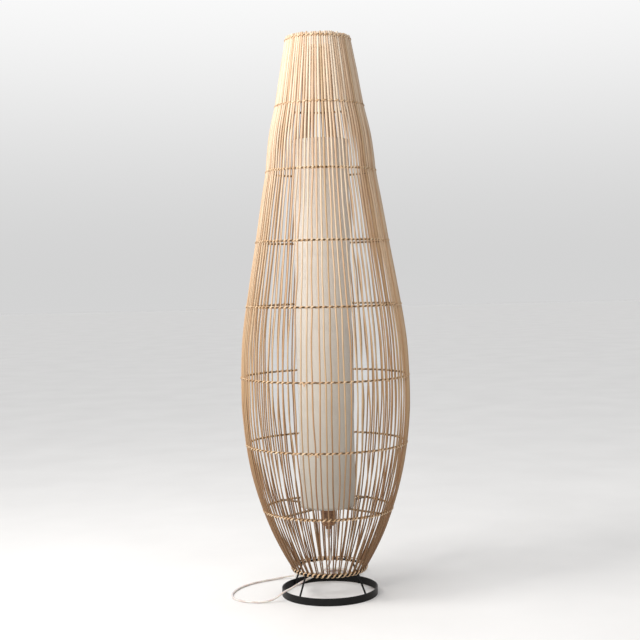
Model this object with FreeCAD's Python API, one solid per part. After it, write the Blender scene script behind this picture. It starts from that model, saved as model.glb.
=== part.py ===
import FreeCAD, Part
import math
import os

# A free-standing floor lamp: a cocoon-shaped shade of split rattan sticks lashed to wire hoops,
# a tall fabric diffuser on a carrier inside it, and a round steel foot. Millimetres, +Z up.
# The origin is on the floor on the lamp's upright axis, and the front is towards -Y.

# Shade outline, along the centre line of a stick
overall_height = 1500.0       # floor to the upper stick ends
belly_height = 560.0          # height of the widest place
stick_foot = 73.0             # height of the lower stick ends
belly_radius = 225.5
foot_radius = 99.0            # at the lower stick ends
upper_belly_share = 0.431     # bend radii of the side, from the top down, as shares of
lower_belly_share = 1.185     # the one arc that would join the belly to the top or to the foot
foot_share = 0.869

# Rattan sticks
stick_diameter = 4.6
stick_gap = 1.2               # least gap between neighbouring sticks
stick_nodes = ["front", "front_right", "right", "rear_right", "rear", "rear_left", "left", "front_left"]

# Wire hoops inside the sticks and the cane binding outside them
hoop_wire = 4.0
rim_wire = 6.0
top_hoop_drop = 10.0          # from the upper stick ends down to the top hoop
hoop_places = [1.0, 0.876, 0.754, 0.622, 0.5015, 0.367, 0.239, 0.1135]   # shares of the way up the sticks
binding_section = 2.4
rim_binding_section = 4.0
rim_binding_rise = 3.0        # of the bottom rim's binding above the lower stick ends

# Foot
foot_ring_radius = 130.0
foot_ring_height = 20.0
foot_ring_wall = 3.0
edge_chamfer = 0.4
leg_diameter = 5.0
leg_turn = 4.5                # degrees that the four legs are turned from the diagonals
leg_foot_height = 1.4         # of a leg's lower end above the floor
leg_weld_length = 13.0        # upright stretch of a leg along the foot ring
leg_bend = 9.0

# Lampholder carrier, four flat arms on hoop 8
carrier_arms = 4
carrier_width = 12.0
carrier_thickness = 2.5
carrier_hub_radius = 30.0
carrier_overhang = 1.0        # of an arm beyond the centre of the hoop's wire
stud_diameter = 4.0           # of the studs that centre the diffuser
stud_height = 8.0
stud_gap = 0.5                # between a stud and the diffuser's lower ring

# Lampholder, E27 size
skirt_height = 38.0
skirt_wall = 2.6
skirt_room = 2.85             # round the thread shell, inside the skirt
skirt_proud = 3.0             # above the upper shade ring
lampholder_cap_height = 26.0
cap_wall = 2.4
boss_radius = 8.0
boss_height = 9.0
stem_hole_radius = 4.6
insert_height = 13.0
insert_seat = 5.0             # of the insert below the joint of cap and skirt
thread_shell_radius = 13.8    # bore of the lampholder's screw shell
thread_shell_wall = 0.5
thread_shell_height = 20.0
skirt_radius = thread_shell_radius + thread_shell_wall + skirt_room + skirt_wall
shade_ring_radius = 27.0
shade_ring_height = 7.0
terminal_radius = 2.0
terminal_length = 9.0
terminal_spread = 9.0
terminal_head_radius = 3.2
terminal_head_height = 1.4
terminal_slot = 0.8
rivet_radius = 3.1            # of the centre contact, through the insert
contact_radius = 5.5
contact_thickness = 0.8
notch_count = 16              # round the edge of a shade ring
notch_radius = 1.6
groove_step = 3.0             # of the skirt's outer thread
groove_depth = 0.5
groove_width = 1.2
cap_shoulder = 5.0

# Bulb
bulb_radius = 30.0
bulb_height = 84.0            # from the top of its metal cap to its crown
bulb_wall = 1.2
bulb_cap_gap = 0.6            # between the bulb's metal cap and the thread shell
bulb_cap_radius = thread_shell_radius - bulb_cap_gap
bulb_neck_radius = bulb_cap_radius + 1.1
bulb_cap_height = 24.0
bulb_cap_wall = 0.5
bulb_tip_radius = 4.8
bulb_tip_height = 2.6
bulb_neck_height = 10.0
bulb_shoulder_turn = -35.0    # degrees from level where the cone of the neck meets the round
bulb_seat_gap = 0.3           # between the bulb's tip and the contact

# Diffuser
diffuser_radius = 75.0
diffuser_length = 985.0
diffuser_wall = 0.8
diffuser_wire = 3.0
diffuser_lap = 1.5            # of the sleeve above its upper wire ring
diffuser_way = 2.0            # round the diffuser where it comes out of the top of the shade

# Cord, its grip, switch and plug
cord_diameter = 5.5
cord_bore_gap = 0.1           # between the cord and the hole that it passes through
grip_length = 24.0
grip_top_radius = 7.0
grip_end_radius = 4.2
grip_hold = 3.0               # of the cord's start inside the grip
coil_centre = (20.0, 195.0)
coil_middle_radius = 30.5
coil_width = 19.0
coil_height = 12.5
coil_round = 3.0
switch_middle = (-71.0, 165.0)
switch_length = 62.0
switch_width = 25.0
switch_height = 15.0
switch_wall = 1.8
switch_parting = 7.0          # height of the joint between base and cover
switch_corner = 6.0
rocker_length = 17.0
rocker_width = 10.0
rocker_axis_height = 12.0
rocker_waist = 3.0            # half length of the rocker's flat underside
rocker_ridge = 1.2            # rise of its ends over its middle
rocker_gap = 0.6
rocker_swing = 7.0            # degrees that each half of the rocker stands from level
rocker_pin_radius = 1.0
rocker_pin_gap = 0.04
rocker_pin_short = 0.6        # of each pin end inside its lug
rocker_lug = 2.0              # thickness of the lugs that hold the rocker's pin
screw_place = (20.0, 7.5)     # of the two switch screws from the switch's middle
screw_radius = 1.25
screw_head_radius = 2.2
screw_head_height = 1.2
screw_length = 8.5
post_radius = 3.4
plug_entry = (88.0, 206.0)    # where the cord goes into the plug
plug_relief_length = 22.0
plug_length = 36.0
plug_width = 34.0
plug_thickness = 14.0
plug_shoulder = 9.0           # half width at the relief
plug_relief_radius = 6.0      # where the relief meets the plug
plug_relief_wall = 1.0        # round the cord at the relief's mouth
plug_round = 2.5
pin_length = 19.0
pin_seat = 8.0                # depth of a pin in the plug
pin_round = 1.2
pin_radius = 2.0
pin_root_radius = 1.6         # of a pin inside the plug
pin_spread = 18.6
plug_axis_height = 7.5

touch_gap = 0.05              # between pieces that lie on each other or are lashed or welded together
seat_gap = 0.3                # between the diffuser and the arms that it stands on
thread_gap = 0.05             # between screwed or pushed pieces
hole_gap = 0.5                # round the lampholder skirt in the carrier's hub

origin = FreeCAD.Vector(0, 0, 0)
up = FreeCAD.Vector(0, 0, 1)

# ---------------------------------------------------------------- general shapes


def export(node, *solids):
    shape = solids[0] if len(solids) == 1 else Part.makeCompound(list(solids))
    shape.exportStep(f"parts/{node}.step")


def turned_about_axis(shape, degrees):
    copy = shape.copy()
    copy.rotate(origin, up, degrees)
    return copy


def moved(shape, x, y, z=0.0):
    copy = shape.copy()
    copy.translate(FreeCAD.Vector(x, y, z))
    return copy


def tube(outer, inner, bottom, top):
    """A round tube or washer about the upright axis."""
    body = Part.makeCylinder(outer, top - bottom, FreeCAD.Vector(0, 0, bottom))
    return body.cut(Part.makeCylinder(inner, top - bottom, FreeCAD.Vector(0, 0, bottom)))


def wire_ring(radius, height, diameter):
    return Part.makeTorus(radius, diameter / 2, FreeCAD.Vector(0, 0, height))


def lathe(outline):
    """A solid turned about the upright axis from its (radius, height) outline."""
    corners = [FreeCAD.Vector(r, 0, z) for r, z in outline]
    return Part.Face(Part.makePolygon(corners + corners[:1])).revolve(origin, up, 360)


def rod(edges, diameter):
    """One round solid along straight runs and arcs that meet in tangents."""
    pieces = []
    for edge in edges:
        start, along = edge.valueAt(edge.FirstParameter), edge.tangentAt(edge.FirstParameter)
        face = Part.Face(Part.Wire(Part.makeCircle(diameter / 2, start, along)))
        if isinstance(edge.Curve, Part.Circle):
            sweep = math.degrees(edge.LastParameter - edge.FirstParameter)
            pieces.append(face.revolve(edge.Curve.Center, edge.Curve.Axis, sweep))
        else:
            pieces.append(face.extrude(along * edge.Length))
    if len(pieces) == 1:
        return pieces[0]
    return pieces[0].multiFuse(pieces[1:]).removeSplitter().Solids[0]


def runs_and_arcs(points, arc_radius):
    """Straight runs between points, rounded by an arc at each; arc_radius(run, half_turn) sizes it."""
    corners = [FreeCAD.Vector(*p) for p in points]
    edges, start = [], corners[0]
    for before, here, after in zip(corners, corners[1:], corners[2:]):
        back, onward = before - here, after - here
        run = min(back.Length, onward.Length)
        half_turn = (math.pi - back.getAngle(onward)) / 2
        radius = arc_radius(run, half_turn)
        back.normalize()
        onward.normalize()
        inward = back + onward
        inward.normalize()
        arc_start = here + back * (radius * math.tan(half_turn))
        arc_end = here + onward * (radius * math.tan(half_turn))
        arc_middle = here + inward * (radius / math.cos(half_turn) - radius)
        edges.append(Part.LineSegment(start, arc_start).toShape())
        edges.append(Part.Arc(arc_start, arc_middle, arc_end).toShape())
        start = arc_end
    edges.append(Part.LineSegment(start, corners[-1]).toShape())
    return edges


# ---------------------------------------------------------------- shade outline

# The top of the shade lets the diffuser out, inside its hoop and its sticks
top_radius = diffuser_radius + diffuser_way + hoop_wire + stick_diameter / 2


def one_arc(rise, inset):
    """Radius of the arc that leaves the belly upright and comes in by inset over that rise."""
    return (rise ** 2 + inset ** 2) / (2 * inset)


# The upper side is an arc from the belly and then a straight line to the top
upper_height = overall_height - belly_height
upper_belly_bend = upper_belly_share * one_arc(upper_height, belly_radius - top_radius)
upper_inset = upper_belly_bend - (belly_radius - top_radius)
upper_lean = math.atan2(upper_height, upper_inset) - math.acos(
    upper_belly_bend / math.hypot(upper_height, upper_inset)
)
bend_rise = upper_belly_bend * math.sin(upper_lean)
bend_radius = belly_radius - upper_belly_bend * (1 - math.cos(upper_lean))

# The lower side is two arcs in a row, the belly bend and the tighter foot bend
lower_drop = belly_height - stick_foot
lower_arc = one_arc(lower_drop, belly_radius - foot_radius)
lower_belly_bend, foot_bend = lower_belly_share * lower_arc, foot_share * lower_arc
lower_reach = lower_belly_bend - (belly_radius - foot_radius)
lower_chord = math.hypot(lower_reach, lower_drop)
bend_step = lower_belly_bend - foot_bend
foot_lean = math.atan2(lower_drop, lower_reach) - math.acos(
    (lower_chord ** 2 + bend_step ** 2 - foot_bend ** 2) / (2 * bend_step * lower_chord)
)
foot_bend_top = belly_height - lower_belly_bend * math.sin(foot_lean)
foot_bend_radius = belly_radius - lower_belly_bend * (1 - math.cos(foot_lean))


def side(height):
    """Radius of a stick's centre line at a height, and its lean out from upright in radians."""
    rise = height - belly_height
    if rise >= bend_rise:
        return bend_radius - (rise - bend_rise) * math.tan(upper_lean), -upper_lean
    if rise >= 0:
        lean = -math.asin(rise / upper_belly_bend)
        return belly_radius - upper_belly_bend * (1 - math.cos(lean)), lean
    if height >= foot_bend_top:
        lean = math.asin(-rise / lower_belly_bend)
        return belly_radius - lower_belly_bend * (1 - math.cos(lean)), lean
    lean = math.asin(math.sin(foot_lean) + (foot_bend_top - height) / foot_bend)
    return foot_bend_radius - foot_bend * (math.cos(foot_lean) - math.cos(lean)), lean


def beside_stick(height, inward):
    """Radius and height of the point that lies a distance square inwards from the centre line."""
    radius, lean = side(height)
    return radius - inward * math.cos(lean), height + inward * math.sin(lean)


# ---------------------------------------------------------------- rattan sticks


def stick():
    levels = [stick_foot, foot_bend_top, belly_height, belly_height + bend_rise, overall_height]
    place = [FreeCAD.Vector(side(z)[0], 0, z) for z in levels]
    edges = []
    for low, high, start, end in zip(levels[:3], levels[1:4], place[:3], place[1:4]):
        middle = (low + high) / 2
        edges.append(Part.Arc(start, FreeCAD.Vector(side(middle)[0], 0, middle), end).toShape())
    edges.append(Part.LineSegment(place[3], place[4]).toShape())
    return rod(edges, stick_diameter)


def sticks():
    narrowest = 2 * math.pi * min(top_radius, foot_radius)
    per_node = int(narrowest / (stick_diameter + stick_gap) / len(stick_nodes))
    step = 360.0 / (per_node * len(stick_nodes))
    first = stick()
    front = -90.0 - step * (per_node - 1) / 2
    for i, name in enumerate(stick_nodes):
        turns = [front + step * (i * per_node + k) for k in range(per_node)]
        export(f"sticks_{name}", *[turned_about_axis(first, turn) for turn in turns])
    return per_node * len(stick_nodes)


# ---------------------------------------------------------------- hoops and bindings

hoop_level = [stick_foot + share * (overall_height - top_hoop_drop - stick_foot) for share in hoop_places]


def hoop_seat(level):
    """Radius and height of the middle of a hoop's wire, which lies inside the sticks."""
    return beside_stick(level, (stick_diameter + hoop_wire) / 2 + touch_gap)


def rim_seat():
    """Radius and height of the middle of the bottom rim's wire, just under the stick ends."""
    radius, lean = side(stick_foot)
    below = rim_wire / 2 + touch_gap
    return radius - below * math.sin(lean), stick_foot - below * math.cos(lean)


def hoops():
    for number, level in enumerate(hoop_level, 1):
        export(f"hoop_wire_{number}", wire_ring(*hoop_seat(level), hoop_wire))
    export("bottom_rim_wire", wire_ring(*rim_seat(), rim_wire))


def bindings():
    for number, level in enumerate(hoop_level, 1):
        seat = beside_stick(level, -(stick_diameter + binding_section) / 2 - touch_gap)
        export(f"binding_{number}", wire_ring(*seat, binding_section))
    rim = stick_foot + rim_binding_rise
    seat = beside_stick(rim, -(stick_diameter + rim_binding_section) / 2 - touch_gap)
    export("binding_bottom_rim", wire_ring(*seat, rim_binding_section))


# ---------------------------------------------------------------- foot


def foot_ring():
    ring = tube(foot_ring_radius, foot_ring_radius - foot_ring_wall, 0, foot_ring_height)
    return ring.makeChamfer(edge_chamfer, [e for e in ring.Edges if isinstance(e.Curve, Part.Circle)])


def leg():
    """A round bar up the inside of the foot ring and then straight to the rim's wire."""
    inside = foot_ring_radius - foot_ring_wall - leg_diameter / 2 - touch_gap
    rim_radius, rim_height = rim_seat()
    knee = (inside, leg_foot_height + leg_weld_length)
    run = math.hypot(rim_radius - knee[0], rim_height - knee[1])
    reach = run - rim_wire / 2 - touch_gap
    top = [k + (r - k) * reach / run for k, r in zip(knee, (rim_radius, rim_height))]
    points = [(inside, 0, leg_foot_height), (inside, 0, knee[1]), (top[0], 0, top[1])]
    bar = rod(runs_and_arcs(points, lambda run, half_turn: leg_bend), leg_diameter)
    # the top end is ground hollow to sit on the round of the rim's wire
    return bar.cut(wire_ring(rim_radius, rim_height, rim_wire + 2 * touch_gap)).Solids[0]


leg_names = ["front_left", "front_right", "rear_right", "rear_left"]
leg_angles = [-90.0 + leg_turn + 90.0 * (i - 0.5) for i in range(len(leg_names))]


def foot():
    export("foot_ring", foot_ring())
    bar = leg()
    for name, angle in zip(leg_names, leg_angles):
        export(f"leg_{name}", turned_about_axis(bar, angle))


# ---------------------------------------------------------------- lampholder carrier

carrier_bottom = hoop_seat(hoop_level[-1])[1] + hoop_wire / 2 + touch_gap
carrier_top = carrier_bottom + carrier_thickness
diffuser_wire_radius = diffuser_radius - diffuser_wall - touch_gap - diffuser_wire / 2
stud_circle = diffuser_wire_radius - diffuser_wire / 2 - stud_gap - stud_diameter / 2


def carrier():
    """Flat steel arms on hoop 8, with a hub for the lampholder and studs for the diffuser."""
    base = FreeCAD.Vector(0, 0, carrier_bottom)
    body = Part.makeCylinder(carrier_hub_radius, carrier_thickness, base)
    reach = hoop_seat(hoop_level[-1])[0] + carrier_overhang
    corner = base - FreeCAD.Vector(0, carrier_width / 2, 0)
    arm = Part.makeBox(reach, carrier_width, carrier_thickness, corner)
    stud = Part.makeCylinder(stud_diameter / 2, stud_height, FreeCAD.Vector(stud_circle, 0, carrier_top))
    for k in range(carrier_arms):
        turn = leg_angles[0] + k * 360.0 / carrier_arms
        body = body.fuse([turned_about_axis(arm, turn), turned_about_axis(stud, turn)])
    hole = Part.makeCylinder(skirt_radius + hole_gap, carrier_thickness, base)
    export("lampholder_carrier", body.removeSplitter().cut(hole).Solids[0])


# ---------------------------------------------------------------- lampholder

upper_ring_bottom = carrier_top + touch_gap
skirt_top = upper_ring_bottom + shade_ring_height + skirt_proud
skirt_bottom = skirt_top - skirt_height
cap_bottom = skirt_bottom - lampholder_cap_height
boss_bottom = cap_bottom - boss_height
insert_bottom = skirt_bottom - insert_seat
insert_top = insert_bottom + insert_height
inner_radius = skirt_radius - skirt_wall


def lampholder_skirt():
    """The brown moulded skirt, threaded outside for the two shade rings."""
    body = tube(skirt_radius, inner_radius, skirt_bottom, skirt_top)
    level = skirt_top - groove_step
    while level > skirt_bottom + groove_step:
        body = body.cut(tube(skirt_radius + 1, skirt_radius - groove_depth, level, level + groove_width))
        level -= groove_step
    return body


def lampholder_cap():
    """The brown cap below the skirt, with a threaded boss for the cord grip."""
    outer, shoulder = skirt_radius, cap_shoulder
    inner = outer - cap_wall
    floor = cap_bottom + cap_wall
    return lathe([
        (stem_hole_radius, boss_bottom), (boss_radius, boss_bottom), (boss_radius, cap_bottom),
        (outer - shoulder, cap_bottom), (outer, cap_bottom + shoulder), (outer, skirt_bottom - touch_gap),
        (inner, skirt_bottom - touch_gap), (inner, floor + shoulder), (inner - shoulder, floor),
        (stem_hole_radius, floor),
    ])


def lampholder_insert():
    """The ceramic block that carries the contacts and terminals."""
    base = FreeCAD.Vector(0, 0, insert_bottom)
    block = Part.makeCylinder(inner_radius - thread_gap, insert_height, base)
    block = block.cut(Part.makeCylinder(rivet_radius + thread_gap, insert_height, base))
    for x in (-terminal_spread, terminal_spread):
        seat = FreeCAD.Vector(x, 0, insert_bottom)
        block = block.cut(Part.makeCylinder(terminal_radius + thread_gap, terminal_length, seat))
    return block


def terminal_screws():
    """Two slotted cheese-head screws in the underside of the insert."""
    screws = []
    low = insert_bottom - touch_gap - terminal_head_height
    for x in (-terminal_spread, terminal_spread):
        head = Part.makeCylinder(terminal_head_radius, terminal_head_height, FreeCAD.Vector(x, 0, low))
        shank = Part.makeCylinder(terminal_radius, terminal_length, FreeCAD.Vector(x, 0, low))
        corner = FreeCAD.Vector(x - terminal_head_radius, -terminal_slot / 2, low)
        slot = Part.makeBox(2 * terminal_head_radius, terminal_slot, terminal_head_height / 2, corner)
        screws.append(head.fuse(shank).removeSplitter().cut(slot).Solids[0])
    return screws


def thread_shell():
    """The thin metal shell that a bulb's cap screws into."""
    bottom = insert_top + touch_gap
    outer = thread_shell_radius + thread_shell_wall
    return tube(outer, thread_shell_radius, bottom, bottom + thread_shell_height)


def centre_contact():
    """The springy tongue under the bulb's tip, riveted through the insert."""
    pin = Part.makeCylinder(rivet_radius, insert_height + touch_gap, FreeCAD.Vector(0, 0, insert_bottom))
    head = Part.makeCylinder(contact_radius, contact_thickness, FreeCAD.Vector(0, 0, insert_top + touch_gap))
    return pin.fuse(head).removeSplitter().Solids[0]


def shade_ring(bottom):
    """A ring screwed on the skirt, with a grip of shallow notches round its edge."""
    ring = tube(shade_ring_radius, skirt_radius + thread_gap, bottom, bottom + shade_ring_height)
    place = FreeCAD.Vector(shade_ring_radius, 0, bottom)
    notch = Part.makeCylinder(notch_radius, shade_ring_height, place)
    notches = [turned_about_axis(notch, k * 360.0 / notch_count) for k in range(notch_count)]
    return ring.cut(notches)


def lampholder():
    export("lampholder_skirt", lampholder_skirt())
    export("lampholder_cap", lampholder_cap())
    export("lampholder_insert", lampholder_insert())
    export("lampholder_terminal_screws", *terminal_screws())
    export("lampholder_thread_shell", thread_shell())
    export("lampholder_centre_contact", centre_contact())
    export("shade_ring_lower", shade_ring(carrier_bottom - touch_gap - shade_ring_height))
    export("shade_ring_upper", shade_ring(upper_ring_bottom))


# ---------------------------------------------------------------- bulb

bulb_tip_bottom = insert_top + touch_gap + contact_thickness + bulb_seat_gap
bulb_cap_bottom = bulb_tip_bottom + bulb_tip_height
bulb_cap_top = bulb_cap_bottom + bulb_cap_height


def bulb_outline(inset):
    """Closed half outline of the bulb from its neck to its crown; inset gives the inner face."""
    radius, neck = bulb_radius - inset, bulb_neck_radius - inset
    bottom = bulb_cap_top + touch_gap
    middle = bottom + bulb_height - bulb_radius

    def on_round(degrees):
        turn = math.radians(degrees)
        return FreeCAD.Vector(radius * math.cos(turn), 0, middle + radius * math.sin(turn))

    shoulder, crown = on_round(bulb_shoulder_turn), on_round(90)
    corners = [crown, FreeCAD.Vector(0, 0, bottom), FreeCAD.Vector(neck, 0, bottom),
               FreeCAD.Vector(neck, 0, bottom + bulb_neck_height), shoulder]
    edges = [Part.LineSegment(a, b).toShape() for a, b in zip(corners, corners[1:])]
    edges.append(Part.Arc(shoulder, on_round(0), crown).toShape())
    return Part.Wire(edges)


def bulb_globe():
    outer = Part.Face(bulb_outline(0)).revolve(origin, up, 360)
    inner = Part.Face(bulb_outline(bulb_wall)).revolve(origin, up, 360)
    return outer.cut(inner).Solids[0]


def bulb_cap():
    """The screw cap of the bulb, a thin shell open above."""
    outer = Part.makeCylinder(bulb_cap_radius, bulb_cap_height, FreeCAD.Vector(0, 0, bulb_cap_bottom))
    floor = FreeCAD.Vector(0, 0, bulb_cap_bottom + bulb_cap_wall)
    return outer.cut(Part.makeCylinder(bulb_cap_radius - bulb_cap_wall, bulb_cap_height, floor))


def bulb_tip():
    """The insulator and contact under the cap."""
    return lathe([
        (0, bulb_tip_bottom), (bulb_tip_radius, bulb_tip_bottom),
        (bulb_cap_radius - bulb_cap_wall, bulb_cap_bottom - touch_gap), (0, bulb_cap_bottom - touch_gap),
    ])


def bulb():
    export("bulb_globe", bulb_globe())
    export("bulb_cap", bulb_cap())
    export("bulb_tip", bulb_tip())


# ---------------------------------------------------------------- diffuser

diffuser_bottom = carrier_top + seat_gap
diffuser_top = diffuser_bottom + diffuser_length


def diffuser():
    """A stiff fabric sleeve glued round two wire rings; it lifts out through the top hoop."""
    half_wire = diffuser_wire / 2
    lower, upper = diffuser_bottom + half_wire, diffuser_top - diffuser_lap - half_wire
    export("diffuser_bottom_ring", wire_ring(diffuser_wire_radius, lower, diffuser_wire))
    export("diffuser_top_ring", wire_ring(diffuser_wire_radius, upper, diffuser_wire))
    inner = diffuser_radius - diffuser_wall
    export("diffuser_sleeve", tube(diffuser_radius, inner, diffuser_bottom, diffuser_top))


# ---------------------------------------------------------------- cord grip and cord

grip_end = boss_bottom - touch_gap - grip_length
floor_level = cord_diameter / 2 + touch_gap

# Hangs inside the shade, crosses the foot ring at the front left and runs on over the floor to the switch
lead_points = [
    (0, 0, grip_end + grip_hold), (0, 0, 129), (4, -1, 107), (3, -3, 87), (-7, -7, 70), (-27, -17, 58.5),
    (-54, -31, 50.5), (-82, -46.5, 41), (-103, -59, 31), (-121, -68.5, 27.5), (-138, -76.5, 15.5),
    (-157, -83, 6), (-181, -86, floor_level), (-210, -83, floor_level), (-238, -70, floor_level),
    (-258, -45, floor_level), (-267, -12, floor_level), (-264, 22, floor_level), (-254, 55, floor_level),
    (-237.5, 85.5, floor_level), (-215, 111.5, floor_level), (-188.5, 132.5, floor_level),
    (-163.5, 147.5, floor_level), (-139.5, 158, 4), (-119.5, 163.5, 6.8), (-102, 165, 7.5),
]
switch_lead_points = [(-40, 165, 7.5), (-28, 165.3, 6.8), (-17, 165, 5.6), (-5, 164.4, 5)]
tail_points = [
    (35, 166.2, 5), (49, 166.8, 4.6), (64, 169.8, 5), (76.5, 178, 6), (85.5, 191, 7), (88, 206, 7.5),
]


def cord_grip():
    """A tapered moulded grip, screwed into the boss of the lampholder's cap."""
    bore = cord_diameter / 2 + cord_bore_gap
    top = boss_bottom - touch_gap
    spigot = stem_hole_radius - thread_gap
    return lathe([
        (bore, grip_end), (grip_end_radius, grip_end), (grip_top_radius, top), (spigot, top),
        (spigot, top + boss_height), (bore, top + boss_height),
    ])


def cord_rod(node, points):
    """Every arc of a cord is as wide as its two runs allow."""
    radii = []

    def widest(run, half_turn):
        radii.append(0.45 * run / math.tan(half_turn))
        return radii[-1]

    edges = runs_and_arcs(points, widest)
    solid = rod(edges, cord_diameter)
    length = sum(edge.Length for edge in edges)
    section = math.pi * cord_diameter ** 2 / 4
    print(f"{node}: length {length:.1f}, least radius {min(radii):.1f}, "
          f"volume over section times length {solid.Volume / (section * length):.5f}")
    export(node, solid)


def cord():
    export("cord_grip", cord_grip())
    cord_rod("cord_lead", lead_points)
    cord_rod("cord_switch_lead", switch_lead_points)
    cord_rod("cord_tail", tail_points)
    low = touch_gap
    outer, inner = coil_middle_radius + coil_width / 2, coil_middle_radius - coil_width / 2
    coil = tube(outer, inner, low, low + coil_height)
    coil = coil.makeFillet(coil_round, [e for e in coil.Edges if isinstance(e.Curve, Part.Circle)])
    export("cord_coil", moved(coil, *coil_centre))


# ---------------------------------------------------------------- inline switch


def rounded_block(length, width, bottom, top, corner):
    """An upright block with rounded upright edges, centred on the axis."""
    block = Part.makeBox(length, width, top - bottom, FreeCAD.Vector(-length / 2, -width / 2, bottom))
    upright = [e for e in block.Edges if abs(e.tangentAt(e.FirstParameter).z) > 0.99]
    return block.makeFillet(corner, upright)


def switch_cord_holes(body):
    """Cuts the cord's way through both ends of the switch."""
    radius = cord_diameter / 2 + cord_bore_gap
    end = FreeCAD.Vector(-switch_length / 2, 0, switch_height / 2)
    return body.cut(Part.makeCylinder(radius, switch_length, end, FreeCAD.Vector(1, 0, 0))).Solids[0]


def switch_hollow(bottom, top):
    length, width = switch_length - 2 * switch_wall, switch_width - 2 * switch_wall
    return rounded_block(length, width, bottom, top, switch_corner - switch_wall)


def screw_column(radius, bottom, top):
    """A pair of upright columns at the places of the two screws."""
    x, y = screw_place
    return [Part.makeCylinder(radius, top - bottom, FreeCAD.Vector(at, y, bottom)) for at in (-x, x)]


def switch_base():
    """The lower half of the housing, with posts that the screws pass through."""
    floor, top = touch_gap, switch_parting - touch_gap
    body = rounded_block(switch_length, switch_width, floor, top, switch_corner)
    body = body.cut(switch_hollow(floor + switch_wall, top)).fuse(screw_column(post_radius, floor, top))
    body = body.cut(screw_column(screw_radius + thread_gap, floor, top))
    head_top = 2 * touch_gap + screw_head_height
    body = body.cut(screw_column(screw_head_radius + thread_gap, floor, floor + head_top))
    return switch_cord_holes(body.removeSplitter())


def switch_cover():
    """The upper half of the housing, with the rocker's window and the lugs for its pin."""
    body = rounded_block(switch_length, switch_width, switch_parting, switch_height, switch_corner)
    upper_edges = [e for e in body.Edges if e.BoundBox.ZMin > switch_height - touch_gap]
    body = body.makeFillet(switch_wall, upper_edges)
    ceiling = switch_height - switch_wall
    body = body.cut(switch_hollow(switch_parting, ceiling))
    body = body.fuse(screw_column(post_radius, switch_parting, ceiling + switch_wall / 2))
    half_length, half_width = rocker_length / 2 + rocker_gap, rocker_width / 2 + rocker_gap
    window = Part.makeBox(2 * half_length, 2 * half_width, switch_height,
                          FreeCAD.Vector(-half_length, -half_width, switch_parting))
    body = body.cut(window)
    lug_low, lug_half = rocker_axis_height - 3 * rocker_pin_radius, 2.5 * rocker_pin_radius
    for y in (half_width, -half_width - rocker_lug):
        corner = FreeCAD.Vector(-lug_half, y, lug_low)
        body = body.fuse(Part.makeBox(2 * lug_half, rocker_lug, ceiling + switch_wall / 2 - lug_low, corner))
    reach = half_width + rocker_lug
    bore = Part.makeCylinder(rocker_pin_radius + rocker_pin_gap, 2 * reach,
                             FreeCAD.Vector(0, -reach, rocker_axis_height), FreeCAD.Vector(0, 1, 0))
    body = body.removeSplitter().cut(bore)
    hole_top = touch_gap + screw_length + thread_gap
    body = body.cut(screw_column(screw_radius + thread_gap, switch_parting, hole_top))
    return switch_cord_holes(body.removeSplitter())


def switch_rocker():
    """A two-sided rocker on its pin, with one side pressed down."""
    half, low = rocker_length / 2, rocker_axis_height - 2 * rocker_pin_radius
    top = switch_height + rocker_ridge / 2
    end_low, end_top = low + 2 * rocker_ridge, top + rocker_ridge
    outline = [(-half, end_low), (-rocker_waist, low), (rocker_waist, low), (half, end_low),
               (half, end_top), (0, top), (-half, end_top)]
    corners = [FreeCAD.Vector(x, -rocker_width / 2, z) for x, z in outline]
    body = Part.Face(Part.makePolygon(corners + corners[:1])).extrude(FreeCAD.Vector(0, rocker_width, 0))
    reach = rocker_width / 2 + rocker_gap + rocker_lug - rocker_pin_short
    pin = Part.makeCylinder(rocker_pin_radius, 2 * reach, FreeCAD.Vector(0, -reach, rocker_axis_height),
                            FreeCAD.Vector(0, 1, 0))
    body = body.fuse(pin).removeSplitter()
    body.rotate(FreeCAD.Vector(0, 0, rocker_axis_height), FreeCAD.Vector(0, 1, 0), rocker_swing)
    return body.Solids[0]


def switch_screws():
    low = 2 * touch_gap
    heads = screw_column(screw_head_radius, low, low + screw_head_height)
    shanks = screw_column(screw_radius, low, screw_length)
    return [head.fuse(shank).removeSplitter().Solids[0] for head, shank in zip(heads, shanks)]


def switch():
    x, y = switch_middle
    export("switch_base", moved(switch_base(), x, y))
    export("switch_cover", moved(switch_cover(), x, y))
    export("switch_rocker", moved(switch_rocker(), x, y))
    export("switch_screws", *[moved(screw, x, y) for screw in switch_screws()])


# ---------------------------------------------------------------- plug


def pin_rods(radius, start, end):
    """Two level rods along +Y at the places of the plug's pins."""
    x, y = plug_entry
    ahead = FreeCAD.Vector(0, 1, 0)
    middles = (x - pin_spread / 2, x + pin_spread / 2)
    return [Part.makeCylinder(radius, end - start, FreeCAD.Vector(m, start, plug_axis_height), ahead)
            for m in middles]


def plug_body():
    """A moulded flat two-pin plug with a tapered relief where the cord goes in, lying along +Y."""
    x, y = plug_entry
    back, face = y + plug_relief_length, y + plug_relief_length + plug_length
    relief = Part.makeCone(cord_diameter / 2 + plug_relief_wall, plug_relief_radius, plug_relief_length,
                           FreeCAD.Vector(x, y, plug_axis_height), FreeCAD.Vector(0, 1, 0))
    wide = plug_width / 2
    outline = [(-plug_shoulder, back), (plug_shoulder, back), (wide, (back + face) / 2), (wide, face),
               (-wide, face), (-wide, (back + face) / 2)]
    low = plug_axis_height - plug_thickness / 2
    corners = [FreeCAD.Vector(x + u, v, low) for u, v in outline]
    base = Part.Face(Part.makePolygon(corners + corners[:1]))
    block = base.extrude(FreeCAD.Vector(0, 0, plug_thickness))
    body = block.makeFillet(plug_round, block.Edges).fuse(relief).removeSplitter()
    return body.cut(pin_rods(pin_root_radius + thread_gap, face - pin_seat, face)).Solids[0]


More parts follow.
